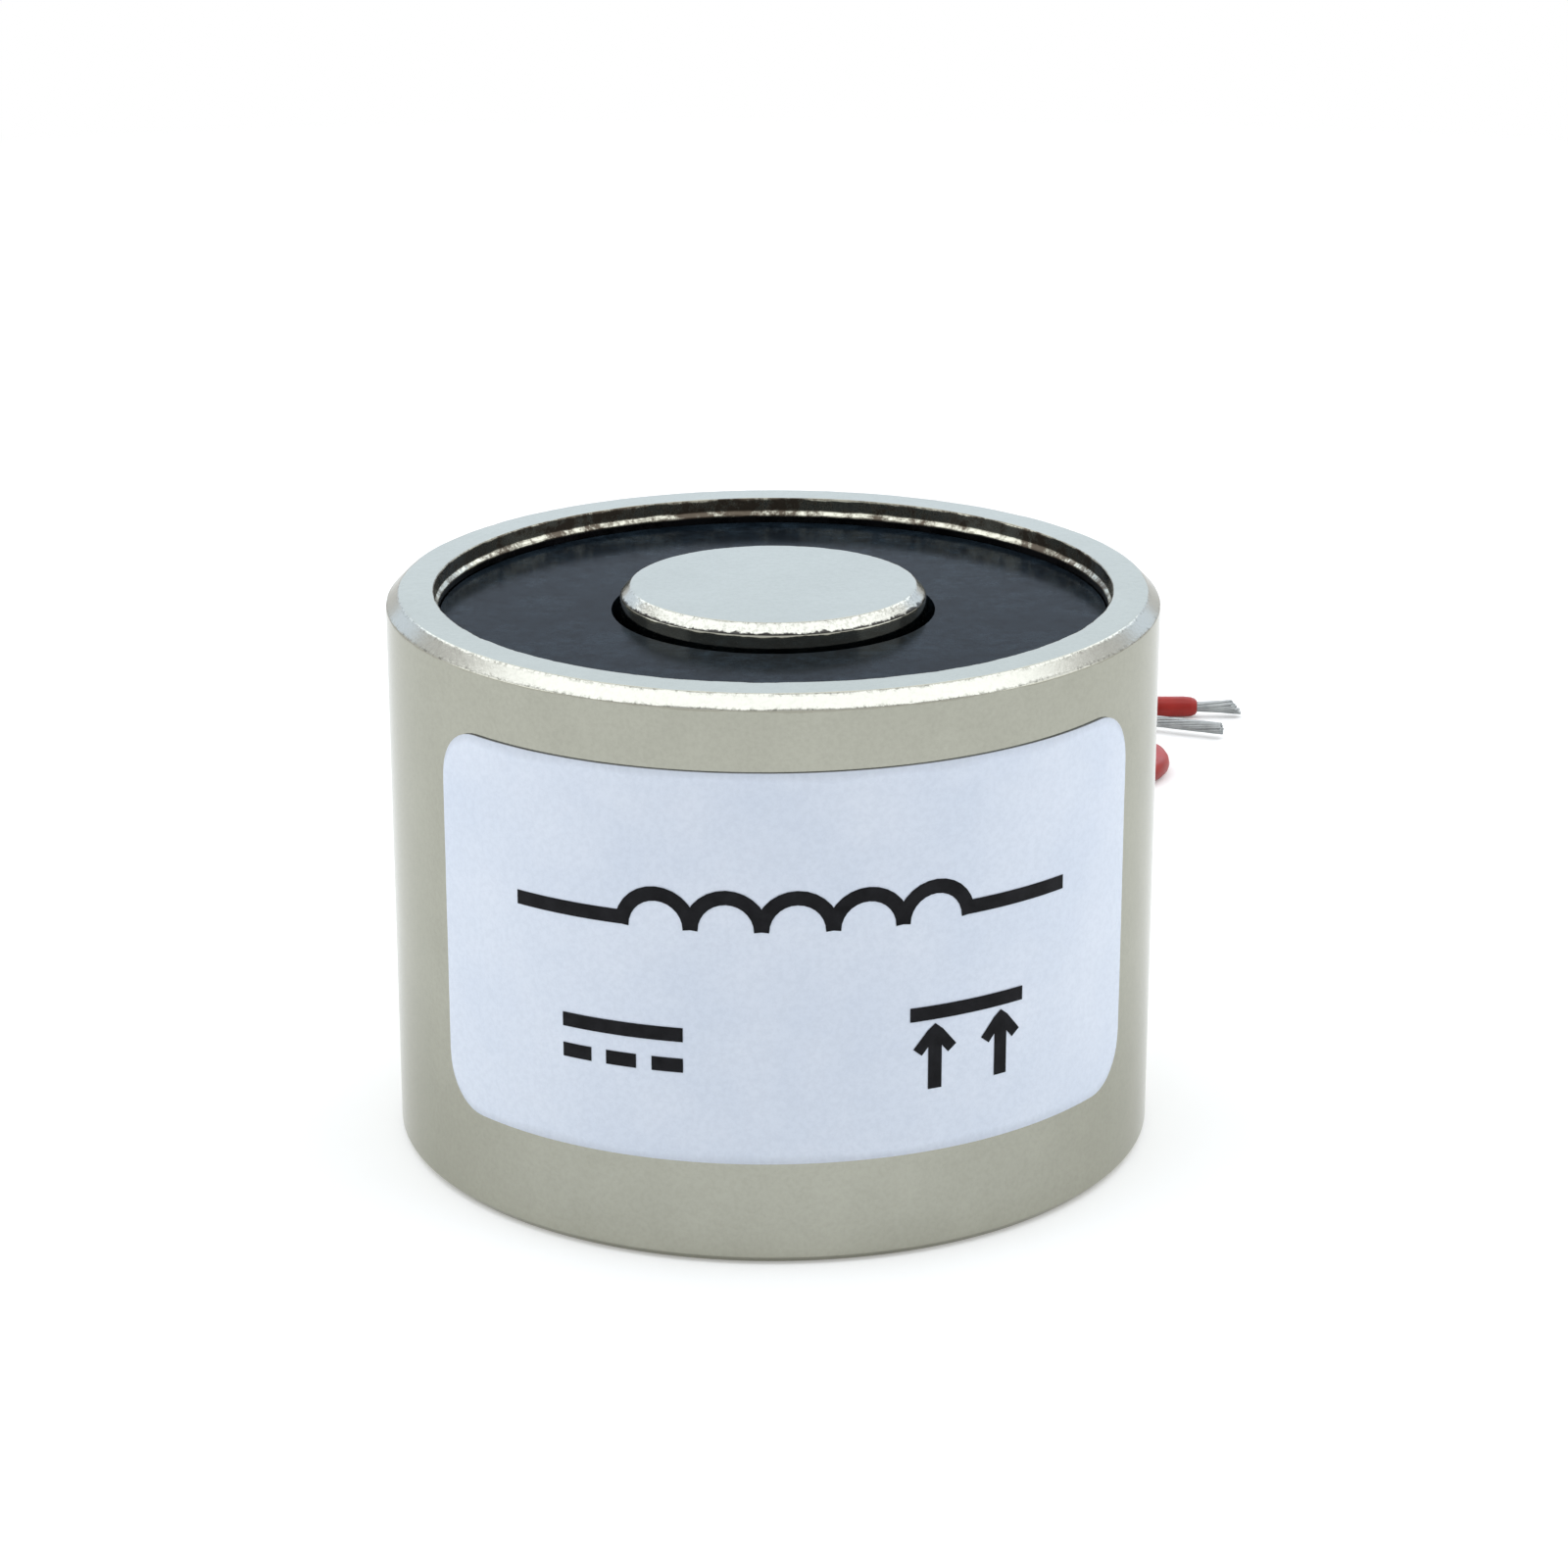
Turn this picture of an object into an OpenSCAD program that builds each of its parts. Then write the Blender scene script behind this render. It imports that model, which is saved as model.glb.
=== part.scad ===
// Holding electromagnet of the pot type, with two free leads.
// The origin is on the axis at the mounting face, and the holding face looks up (+Z).
// The label looks towards -Y, and the leads leave through the wall at the back (+Y).

/* [Pot] */
// Outside diameter of the pot
body_d = 30; // [27:0.5:50]
// Height from the mounting face to the holding face
body_h = 22; // [18:0.5:40]
// Thickness of the side wall
wall_t = 2; // [1.5:0.1:3]
// Thickness of the base
base_t = 4; // [3:0.1:6]
// Chamfer round the holding face
face_chamfer = 0.5; // [0.2:0.05:0.7]
// Chamfer round the mounting face
base_chamfer = 0.3; // [0.1:0.05:1]
// How far the mouth is turned out beyond the bore, on the radius
mouth_step = 0.15; // [0.1:0.05:0.4]
// Depth of the turned-out mouth
mouth_depth = 0.55; // [0.3:0.05:0.8]

/* [Pole] */
// Diameter of the centre pole
core_d = 11.9; // [10:0.1:13]
// Chamfer round the end of the pole
core_chamfer = 0.4; // [0.1:0.05:0.6]
// Diameter of the spigot that is pressed into the base
spigot_d = 9; // [7:0.1:9.8]
// Diameter of the tapped hole, which is an M4 thread
thread_d = 4; // [3:0.5:5]
// Depth of the tapped hole's full wall
thread_depth = 7; // [4:0.5:10]
// Countersink at the mouth of the tapped hole
thread_lead_in = 0.4; // [0.2:0.1:0.8]

/* [Bobbin and winding] */
// How far the bobbin's upper flange lies below the holding face
flange_recess = 1; // [0.9:0.05:2]
// Thickness of each flange
flange_t = 0.8; // [0.6:0.1:1.5]
// Wall of the bobbin's tube
tube_t = 0.7; // [0.5:0.1:1]
// Gap between the pole and the bobbin, on the radius
core_gap = 0.35; // [0.1:0.05:0.6]
// Gap between the flanges and the bore, on the radius
flange_gap = 0.05; // [0.02:0.01:0.2]
// Thickness of the tape over the winding
tape_t = 0.15; // [0.05:0.05:0.3]
// Room between the tape and the bore for the leads and their splices
splice_room = 3.15; // [2.9:0.05:3.4]

/* [Leads] */
// Outside diameter of a lead's insulation
lead_d = 1.1; // [0.8:0.1:1.3]
// Distance between the two leads where they leave
lead_pitch = 1.3; // [1.3:0.1:1.6]
// Rubber left round each lead in the grommet
grommet_land = 0.7; // [0.5:0.1:0.9]
// Width of the grommet's collar beyond its hole
collar_w = 0.6; // [0.3:0.1:1]
// How far the collar stands proud of the wall
collar_t = 0.7; // [0.4:0.1:1.5]
// Running clearance of the leads in the grommet and the sleeves
lead_clearance = 0.05; // [0.02:0.01:0.1]
// Length of a splice sleeve
sleeve_len = 6; // [4:0.5:7]
// Wall of a splice sleeve
sleeve_wall = 0.25; // [0.15:0.05:0.3]
// How far a lead reaches into its sleeve
sleeve_grip = 2; // [1:0.5:3]
// Diameter of the tinned conductor
strand_d = 0.6; // [0.4:0.05:0.7]
// Stripped length of the first lead
strip_1 = 2.4; // [2:0.1:8]
// Stripped length of the second lead
strip_2 = 5.4; // [2:0.1:8]

/* [Coiled length] */
// Diameter at the middle of the coil's turns
coil_d = 13.2; // [11:0.2:14]
// Passes of lead side by side in the coil
coil_columns = 4; // [4:1:6]
// Layers of lead in the coil
coil_layers = 2; // [2:1:3]
// Thickness of the tie's strip
tie_t = 0.25; // [0.15:0.05:0.4]
// Width of the tie's strip
tie_w = 2; // [1:0.5:4]
// Gap between the tie and the coil
tie_gap = 0.05; // [0.02:0.01:0.1]
// Length of the tie's twisted tail
tie_tail = 5; // [3:0.5:8]

/* [Label] */
// Length of the label round the pot
label_w = 30.4; // [15:0.1:40]
// Distance from the holding face down to the label
label_top = 2.8; // [1:0.1:5]
// Distance from the mounting face up to the label
label_bottom = 4.1; // [1:0.1:6]
// Corner radius of the label
label_corner = 2; // [0.5:0.1:3]
// Thickness of the label
label_t = 0.12; // [0.05:0.01:0.3]
// Angle from the front to the label's middle
label_turn = 3.3; // [-30:0.1:30]

/* [Hidden] */
$fn = 96;

// Small overshoot of cutters, so that no cut ends on a face
over = 0.5;
// Gap where two pieces rest on each other along a curved face
seat_gap = 0.02;

// Radii and levels of the pot, pole and bobbin
body_r = body_d / 2;
bore_r = body_r - wall_t;
core_r = core_d / 2;
hole_r = core_r + core_gap;
tube_r = hole_r + tube_t;
flange_r = bore_r - flange_gap;
flange_top = body_h - flange_recess;
tape_r = bore_r - splice_room;
winding_r = tape_r - tape_t;
window_low = base_t + flange_t;
window_high = flange_top - flange_t;
drill_tip = thread_d * 0.3;

// Where the leads leave through the wall
lead_r = lead_d / 2;
exit_x = lead_pitch / 2;
grommet_r = exit_x + lead_r + grommet_land;
exit_margin = 0.3;
exit_z = window_low + grommet_r + exit_margin;

// Splice sleeves, lying on the tape beside the grommet
sleeve_turn = 26;
sleeve_bore_r = lead_r + lead_clearance;
sleeve_r = sleeve_bore_r + sleeve_wall;
sleeve_axis_r = tape_r + seat_gap + sleeve_r;

// Coil of the leads, lifted by the tie that passes under it and set to one side behind the pot
coil_shift = 3;
coil_behind = 20;
coil_band = coil_columns * lead_d;
coil_in_r = (coil_d - coil_band) / 2;
coil_out_r = (coil_d + coil_band) / 2;
coil_low = tie_t + tie_gap;
coil_high = coil_low + coil_layers * lead_d;
coil_at = [coil_shift, body_r + coil_behind, 0];
tie_turn = 135;

// Routes of the leads from the wall to the coil, as x, distance behind the wall, and height
low_z = coil_low + lead_r;
top_z = coil_high - lead_r;
root_1 = [
    [-exit_x, 0, exit_z], [-exit_x, 2, exit_z], [-0.7, 4, exit_z - 0.2], [-1, 6, 5.8],
    [-1.6, 7.8, 4], [-2.5, 9.4, 2.3], [-3.6, 11, 1.2], [-4.6, 13, low_z], [-5.2, 15.5, low_z],
    [-5.25, 18, low_z], [-5.25, 20, low_z]
];
root_2 = [
    [exit_x, 0, exit_z], [exit_x, 2, exit_z], [0.6, 4, exit_z - 0.2], [0.4, 6, 5.9],
    [-0.1, 7.8, 4.2], [-0.9, 9.4, 2.5], [-2, 11, 1.3], [-3.2, 13, low_z], [-4, 15.5, low_z],
    [-4.15, 18, low_z], [-4.15, 20, low_z]
];

// Routes of the leads from the coil to the end of their insulation
end_1 = [
    [3, 28.25, top_z], [4.8, 28.4, top_z], [6.3, 29.3, 1.6], [7.2, 30.9, 1], [7.5, 32.7, 0.6],
    [7.5, 34.7, lead_r], [7.8, 36.7, lead_r], [8.9, 38.3, lead_r], [10.7, 39.1, lead_r],
    [12.8, 39, lead_r], [14.8, 38.4, lead_r], [16.8, 37.8, lead_r], [18.6, 37.4, lead_r],
    [20.4, 37.2, lead_r], [22.4, 37.2, lead_r]
];
end_2 = [
    [3, 27.15, top_z], [5.2, 27.1, top_z], [7.6, 26.9, 1.5], [10, 26.4, 0.9], [12.4, 25.6, 0.6],
    [14.4, 25, lead_r], [16.3, 24.85, lead_r], [17.9, 25.3, lead_r], [19.1, 26.5, lead_r],
    [19.55, 28.1, lead_r], [19.1, 29.7, lead_r], [17.9, 30.9, lead_r], [16.3, 31.35, lead_r],
    [13.7, 31.4, lead_r], [11.2, 31.5, lead_r], [9.5, 32.2, lead_r], [8.8, 33.9, lead_r],
    [9.5, 35.6, lead_r], [11.2, 36.3, lead_r], [13, 36.4, lead_r], [14.8, 36.35, lead_r],
    [16.6, 36, lead_r], [18.4, 35.3, lead_r]
];

// Steps round a corner of the label
corner_steps = 10;

// Sides of a swept lead and steps of its bend inside the pot
lead_sides = 8;
bend_steps = 4;
bend_pull = 1.1;

// Vectors and points of a swept lead
function unit(v) = v / norm(v);
function heading(path, i) = unit(path[min(i + 1, len(path) - 1)] - path[max(i - 1, 0)]);
function ring(path, i, r) =
    let (
        ahead = heading(path, i),
        across = unit(cross(ahead, [0, 0, 1])),
        above = cross(across, ahead)
    )
    [
        for (k = [0:lead_sides - 1])
            let (turn = 360 * k / lead_sides)
            path[i] + r * (cos(turn) * across + sin(turn) * above)
    ];
function behind_wall(route) = [for (p = route) [p[0], body_r + p[1], p[2]]];
function bezier(a, b, c, d, t) =
    pow(1 - t, 3) * a + 3 * pow(1 - t, 2) * t * b + 3 * (1 - t) * t * t * c + pow(t, 3) * d;

// Middle of a sleeve, and the way it points, for the lead on the given side
function sleeve_mid(side) = [
    side * sleeve_axis_r * sin(sleeve_turn), sleeve_axis_r * cos(sleeve_turn), exit_z
];
function sleeve_way(side) = [side * cos(sleeve_turn), -sin(sleeve_turn), 0];

// A lead's route inside the pot, from its sleeve round a bend to the wall's inner face
function inside_route(side) =
    let (
        way = sleeve_way(side),
        mouth = sleeve_mid(side) - way * sleeve_len / 2,
        wall = [side * exit_x, bore_r, exit_z]
    )
    concat(
        [mouth + way * sleeve_grip],
        [
            for (i = [0:bend_steps])
                bezier(mouth, mouth - way * bend_pull, wall - [0, bend_pull, 0], wall, i / bend_steps)
        ]
    );

// Point of a label corner, turning clockwise from the given angle
function quarter(i, centre, from) =
    let (turn = from - 90 * i / corner_steps)
    centre + label_corner * [cos(turn), sin(turn)];

// A closed tube swept along a route
module swept_lead(path) {
    rows = len(path);
    n = lead_sides;
    skin = [
        for (i = [0:rows - 2], k = [0:n - 1])
            let (a = i * n + k, b = i * n + (k + 1) % n)
            each [[a, a + n, b], [b, a + n, b + n]]
    ];
    first_face = [for (k = [0:n - 1]) k];
    last_face = [for (k = [n - 1:-1:0]) (rows - 1) * n + k];
    polyhedron(
        points = [for (i = [0:rows - 1]) each ring(path, i, lead_r)],
        faces = concat([first_face], skin, [last_face]),
        convexity = 8
    );
}

// A cylinder that starts at a point on a lead's end and runs along its last heading
module along_lead(route, length, r) {
    path = behind_wall(route);
    last = len(path) - 1;
    ahead = heading(path, last);
    translate(path[last])
        rotate([0, 90, atan2(ahead[1], ahead[0])])
        cylinder(h = length, r = r, $fn = 32);
}

// The space that the coil takes up
module coil_space() {
    translate(coil_at + [0, 0, coil_low])
        cylinder(h = coil_high - coil_low, r = coil_out_r);
}

// A flat ring
module ring_solid(low, high, inner, outer) {
    translate([0, 0, low])
        difference() {
            cylinder(h = high - low, r = outer);
            translate([0, 0, -over])
                cylinder(h = high - low + 2 * over, r = inner);
        }
}

// Round bar along +Y at the leads' exit
module exit_bar(x, from, to, r) {
    translate([x, from, exit_z])
        rotate([-90, 0, 0])
        cylinder(h = to - from, r = r, $fn = 48);
}

// Turned cup with a stepped mouth, a spigot hole and a hole for the grommet
module pot_shell() {
    mouth_r = bore_r + mouth_step;
    step_low = body_h - mouth_depth - mouth_step;
    color("silver")
        difference() {
            rotate_extrude()
                polygon([
                    [spigot_d / 2, 0],
                    [body_r - base_chamfer, 0],
                    [body_r, base_chamfer],
                    [body_r, body_h - face_chamfer],
                    [body_r - face_chamfer, body_h],
                    [mouth_r, body_h],
                    [mouth_r, body_h - mouth_depth],
                    [bore_r, step_low],
                    [bore_r, base_t],
                    [spigot_d / 2, base_t]
                ]);
            exit_bar(0, tape_r, body_r + over, grommet_r);
        }
}

// Pole with a pressed-in spigot and a blind tapped hole from the mounting face
module pole_core() {
    color("gainsboro")
        difference() {
            rotate_extrude()
                polygon([
                    [0, 0],
                    [spigot_d / 2, 0],
                    [spigot_d / 2, base_t],
                    [core_r, base_t],
                    [core_r, body_h - core_chamfer],
                    [core_r - core_chamfer, body_h],
                    [0, body_h]
                ]);
            tapped_hole();
        }
}

// Blind hole with a countersunk mouth and a drill point
module tapped_hole() {
    r = thread_d / 2;
    wall_low = thread_lead_in;
    wall_high = wall_low + thread_depth;
    rotate_extrude()
        polygon([
            [0, -over],
            [r + thread_lead_in + over, -over],
            [r, wall_low],
            [r, wall_high],
            [0, wall_high + drill_tip]
        ]);
}

// Moulded spool on the pole, standing on the base
module bobbin() {
    color("darkslategray")
        rotate_extrude()
            polygon([
                [hole_r, base_t],
                [flange_r, base_t],
                [flange_r, window_low],
                [tube_r, window_low],
                [tube_r, window_high],
                [flange_r, window_high],
                [flange_r, flange_top],
                [hole_r, flange_top]
            ]);
}

// All turns of the winding as one ring
module coil_winding() {
    color("peru")
        ring_solid(window_low, window_high, tube_r, winding_r);
}

// Tape wrapped round the winding
module winding_tape() {
    color("gold")
        ring_solid(window_low, window_high, winding_r, tape_r);
}

// Rubber bush with a collar shaped to the wall, and a hole for each lead
module lead_grommet() {
    collar_r = grommet_r + collar_w;
    color([0.1, 0.1, 0.1])
        difference() {
            union() {
                intersection() {
                    exit_bar(0, tape_r, body_r + over, grommet_r - seat_gap);
                    ring_solid(0, 2 * exit_z, bore_r, body_r);
                }
                difference() {
                    exit_bar(0, bore_r, body_r + collar_t, collar_r);
                    cylinder(h = 2 * exit_z, r = body_r);
                }
            }
            for (side = [-1, 1])
                exit_bar(side * exit_x, 0, body_r + collar_t + over, lead_r + lead_clearance);
        }
}

// Insulating sleeve over the joint between a lead and the winding
module splice_sleeve(side) {
    color("dimgray")
        translate(sleeve_mid(side))
        rotate([0, 90, -side * sleeve_turn])
        difference() {
            cylinder(h = sleeve_len, r = sleeve_r, center = true, $fn = 48);
            cylinder(h = sleeve_len + 2 * over, r = sleeve_bore_r, center = true, $fn = 48);
        }
}

module splice_sleeve_1() {
    splice_sleeve(-1);
}

module splice_sleeve_2() {
    splice_sleeve(1);
}

// Paper sticker bent round the pot, with rounded corners
module label() {
    label_r = body_r + label_t;
    low = label_bottom;
    high = body_h - label_top;
    half_arc = label_w / label_r * 90 / PI;
    corner_arc = label_corner / label_r * 180 / PI;
    color("aliceblue")
        rotate([0, 0, label_turn - 90])
        difference() {
            rotate([0, 0, -half_arc - corner_arc])
                rotate_extrude(angle = 2 * (half_arc + corner_arc))
                translate([body_r, low])
                square([label_t, high - low]);
            for (end = [0, 1])
                mirror([0, end, 0])
                rotate([0, 0, half_arc - corner_arc])
                label_end_cut(low, high);
        }
}

// What is cut away beyond the rounded end of the label
module label_end_cut(low, high) {
    depth = 4 * label_corner;
    reach = 4 * label_corner;
    upper = [for (i = [0:corner_steps]) quarter(i, [0, high - label_corner], 90)];
    lower = [for (i = [0:corner_steps]) quarter(i, [0, low + label_corner], 0)];
    before = 2 * upper[0] - upper[1];
    after = 2 * lower[corner_steps] - lower[corner_steps - 1];
    translate([body_r - depth / 2, 0, 0])
        rotate([90, 0, 90])
        linear_extrude(height = depth)
        polygon(concat(
            [[before[0], high + over], before],
            [for (i = [1:corner_steps]) upper[i]],
            [for (i = [0:corner_steps - 1]) lower[i]],
            [after, [after[0], low - over], [reach, low - over], [reach, high + over]]
        ));
}

// Lead from its splice, through the grommet and down to the coil
module lead_root(side, route) {
    color("firebrick")
        difference() {
            swept_lead(concat(inside_route(side), behind_wall(route)));
            coil_space();
        }
}

module lead_1_root() {
    lead_root(-1, root_1);
}

module lead_2_root() {
    lead_root(1, root_2);
}

// Both leads' coiled turns as one ring with rounded edges
module lead_coil() {
    color("firebrick")
        translate(coil_at)
        rotate_extrude() {
            translate([coil_in_r + lead_r, coil_low])
                square([coil_band - lead_d, coil_high - coil_low]);
            translate([coil_in_r, coil_low + lead_r])
                square([coil_band, coil_high - coil_low - lead_d]);
            for (x = [coil_in_r + lead_r, coil_out_r - lead_r], y = [coil_low + lead_r, coil_high - lead_r])
                translate([x, y])
                circle(r = lead_r, $fn = 32);
        }
}

// Strip wrapped round the coil's section, with a short twisted tail lying beyond the coil
module lead_tie() {
    sag = coil_in_r - sqrt(coil_in_r * coil_in_r - tie_w * tie_w / 4);
    in_x = coil_in_r - sag - tie_gap;
    out_x = coil_out_r + tie_gap;
    top = coil_high + tie_gap;
    color("white")
        translate(coil_at)
        rotate([0, 0, tie_turn]) {
            difference() {
                translate([in_x - tie_t, -tie_w / 2, 0])
                    cube([out_x - in_x + 2 * tie_t, tie_w, top + tie_t]);
                translate([in_x, -tie_w / 2 - over, tie_t])
                    cube([out_x - in_x, tie_w + 2 * over, top - tie_t]);
            }
            translate([out_x + tie_t, 0, 2 * tie_t])
                rotate([0, 90, 0])
                cylinder(h = tie_tail, r = 2 * tie_t, $fn = 32);
        }
}

// Lead from the coil to the end of its insulation
module lead_end(route) {
    color("firebrick")
        difference() {
            swept_lead(behind_wall(route));
            coil_space();
        }
}

module lead_1_end() {
    lead_end(end_1);
}

module lead_2_end() {
    lead_end(end_2);
}

// Stripped and tinned end of a lead
module lead_1_strands() {
    color("lightgray")
        along_lead(end_1, strip_1, strand_d / 2);
}

module lead_2_strands() {
    color("lightgray")
        along_lead(end_2, strip_2, strand_d / 2);
}

pot_shell();
pole_core();
bobbin();
coil_winding();
winding_tape();
lead_grommet();
splice_sleeve_1();
splice_sleeve_2();
label();
lead_1_root();
lead_2_root();
lead_coil();
lead_tie();
lead_1_end();
lead_2_end();
lead_1_strands();
lead_2_strands();
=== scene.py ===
# Looks, camera and light for the holding electromagnet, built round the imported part.
# Lengths are in millimetres and are turned into metres by MM where Blender takes them.
import math
import random

import bmesh
import bpy
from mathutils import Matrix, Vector, noise


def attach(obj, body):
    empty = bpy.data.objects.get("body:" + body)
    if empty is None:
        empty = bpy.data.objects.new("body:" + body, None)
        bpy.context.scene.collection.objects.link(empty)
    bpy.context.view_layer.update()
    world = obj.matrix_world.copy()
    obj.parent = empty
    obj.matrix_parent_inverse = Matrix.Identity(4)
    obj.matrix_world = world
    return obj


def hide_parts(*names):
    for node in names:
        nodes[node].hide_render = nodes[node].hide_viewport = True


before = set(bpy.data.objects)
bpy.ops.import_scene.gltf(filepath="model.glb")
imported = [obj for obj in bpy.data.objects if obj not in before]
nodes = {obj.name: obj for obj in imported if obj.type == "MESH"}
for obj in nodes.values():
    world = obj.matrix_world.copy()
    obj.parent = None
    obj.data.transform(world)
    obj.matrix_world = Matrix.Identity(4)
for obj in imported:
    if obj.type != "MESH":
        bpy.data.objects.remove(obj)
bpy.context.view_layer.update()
scene = bpy.context.scene
MM = 0.001
random.seed(7)

# Camera, fitted to the rim, pole, label and base in the photograph
CAMERA_AT = (0, -149.64, 63.94)
CAMERA_PITCH = 18.54
CAMERA_YAW = 0.16
CAMERA_LENS = 91.74

# Sizes that part.scad gives
BODY_R = 15
BODY_H = 22
BORE_R = 13
BASE_T = 4
FACE_CHAMFER = 0.5
BASE_CHAMFER = 0.3
MOUTH_R = 13.15
MOUTH_DEPTH = 0.55
STEP_LOW = 21.3
CORE_R = 5.95
CORE_CHAMFER = 0.4
SPIGOT_R = 4.5
THREAD_R = 2
THREAD_LEAD_IN = 0.4
THREAD_DEPTH = 7
DRILL_TIP = 1.2
LEAD_R = 0.55
EXIT_X = 0.65
EXIT_Z = 7
GROMMET_R = 1.9
GROMMET_GAP = 0.02
COLLAR_R = 2.5
COLLAR_T = 0.7
LEAD_BORE_R = 0.6
SLEEVE_TURN = math.radians(26)
SLEEVE_AXIS_R = 10.72
SLEEVE_LEN = 6
SLEEVE_GRIP = 2
BEND_PULL = 1.1
BEND_STEPS = 4
LABEL_R = 15.12
LABEL_HALF = 15.2
LABEL_LOW = 4.1
LABEL_HIGH = 19.2
LABEL_CORNER = 2
LABEL_TURN = math.radians(3.3)

# The label in the photograph is stuck on a little askew
LABEL_TILT = math.radians(0.38)

# Coil of the leads
COIL_X = 3
COIL_Y = 35
LOW_Z = 0.85
TOP_Z = 1.95
COIL_R_1 = (8.25, 6.05)
COIL_R_2 = (7.15, 4.95)
COIL_TURN = 1170
COIL_STEP = 22.5

# Angles along the coil, in degrees, where a lead starts to go inwards, up and outwards
COIL_IN_AT = 270
COIL_UP_AT = 540
COIL_OUT_AT = 810

# Routes of the leads as x, distance behind the wall, and height
ROOT_1 = [
    (-EXIT_X, 0, EXIT_Z), (-EXIT_X, 2, EXIT_Z), (-0.7, 4, 6.8), (-1, 6, 5.8), (-1.6, 7.8, 4),
    (-2.5, 9.4, 2.3), (-3.6, 11, 1.2), (-4.6, 13, LOW_Z), (-5.2, 15.5, LOW_Z), (-5.25, 18, LOW_Z),
    (-5.25, 20, LOW_Z),
]
ROOT_2 = [
    (EXIT_X, 0, EXIT_Z), (EXIT_X, 2, EXIT_Z), (0.6, 4, 6.8), (0.4, 6, 5.9), (-0.1, 7.8, 4.2),
    (-0.9, 9.4, 2.5), (-2, 11, 1.3), (-3.2, 13, LOW_Z), (-4, 15.5, LOW_Z), (-4.15, 18, LOW_Z),
    (-4.15, 20, LOW_Z),
]
END_1 = [
    (3, 28.25, TOP_Z), (4.8, 28.4, TOP_Z), (6.3, 29.3, 1.6), (7.2, 30.9, 1), (7.5, 32.7, 0.6),
    (7.5, 34.7, LEAD_R), (7.8, 36.7, LEAD_R), (8.9, 38.3, LEAD_R), (10.7, 39.1, LEAD_R),
    (12.8, 39, LEAD_R), (14.8, 38.4, LEAD_R), (16.8, 37.8, LEAD_R), (18.6, 37.4, LEAD_R),
    (20.4, 37.2, LEAD_R), (22.4, 37.2, LEAD_R),
]
END_2 = [
    (3, 27.15, TOP_Z), (5.2, 27.1, TOP_Z), (7.6, 26.9, 1.5), (10, 26.4, 0.9), (12.4, 25.6, 0.6),
    (14.4, 25, LEAD_R), (16.3, 24.85, LEAD_R), (17.9, 25.3, LEAD_R), (19.1, 26.5, LEAD_R),
    (19.55, 28.1, LEAD_R), (19.1, 29.7, LEAD_R), (17.9, 30.9, LEAD_R), (16.3, 31.35, LEAD_R),
    (13.7, 31.4, LEAD_R), (11.2, 31.5, LEAD_R), (9.5, 32.2, LEAD_R), (8.8, 33.9, LEAD_R),
    (9.5, 35.6, LEAD_R), (11.2, 36.3, LEAD_R), (13, 36.4, LEAD_R), (14.8, 36.35, LEAD_R),
    (16.6, 36, LEAD_R), (18.4, 35.3, LEAD_R),
]


# Shader helpers


def new_material(name):
    """A material with one Principled shader, as its node tree and the shader."""
    made = bpy.data.materials.new(name)
    made.use_nodes = True
    tree = made.node_tree
    return made, tree, tree.nodes["Principled BSDF"]


def add_node(tree, kind, settings=(), inputs=()):
    """A shader node with its properties and its input values set."""
    made = tree.nodes.new(kind)
    for key, value in dict(settings).items():
        setattr(made, key, value)
    for key, value in dict(inputs).items():
        made.inputs[key].default_value = value
    return made


def object_coordinates(tree, stretch=(1, 1, 1)):
    """Coordinates in the part's frame, stretched along each axis."""
    source = add_node(tree, "ShaderNodeTexCoord")
    mapping = add_node(tree, "ShaderNodeMapping", inputs={"Scale": stretch})
    tree.links.new(source.outputs["Object"], mapping.inputs["Vector"])
    return mapping.outputs["Vector"]


def noise_texture(tree, vector, scale, detail=3.0, roughness=0.55):
    """The value of a noise texture on the given coordinates."""
    made = add_node(
        tree,
        "ShaderNodeTexNoise",
        inputs={"Scale": scale, "Detail": detail, "Roughness": roughness},
    )
    tree.links.new(vector, made.inputs["Vector"])
    return made.outputs["Fac"]


def ramp(tree, value, stops):
    """A colour ramp with stops given as place and colour."""
    made = add_node(tree, "ShaderNodeValToRGB")
    band = made.color_ramp
    while len(band.elements) < len(stops):
        band.elements.new(0.5)
    for element, (place, colour) in zip(band.elements, stops):
        element.position = place
        element.color = (*colour, 1)
    tree.links.new(value, made.inputs["Fac"])
    return made.outputs["Color"]


def spread(tree, value, low, high, source_low=0.3, source_high=0.7):
    """A value moved from one range to another."""
    made = add_node(
        tree,
        "ShaderNodeMapRange",
        inputs={"From Min": source_low, "From Max": source_high, "To Min": low, "To Max": high},
    )
    tree.links.new(value, made.inputs["Value"])
    return made.outputs["Result"]


def set_or_link(tree, socket, value):
    """Gives an input a number, or links another node's output to it."""
    if isinstance(value, (int, float)):
        socket.default_value = value
    else:
        tree.links.new(value, socket)


def bump(tree, height, strength, distance):
    """A bump from a height, with a strength that is a number or another node's output."""
    made = add_node(tree, "ShaderNodeBump", inputs={"Distance": distance})
    tree.links.new(height, made.inputs["Height"])
    set_or_link(tree, made.inputs["Strength"], strength)
    return made.outputs["Normal"]


def math_node(tree, operation, first, second=0):
    """The result of one operation on one or two values, each a number or another node's output."""
    made = add_node(tree, "ShaderNodeMath", settings={"operation": operation})
    for socket, value in zip(made.inputs, (first, second)):
        set_or_link(tree, socket, value)
    return made.outputs[0]


def product(tree, first, *others):
    """The product of several values, each a number or another node's output."""
    for other in others:
        first = math_node(tree, "MULTIPLY", first, other)
    return first


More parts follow.
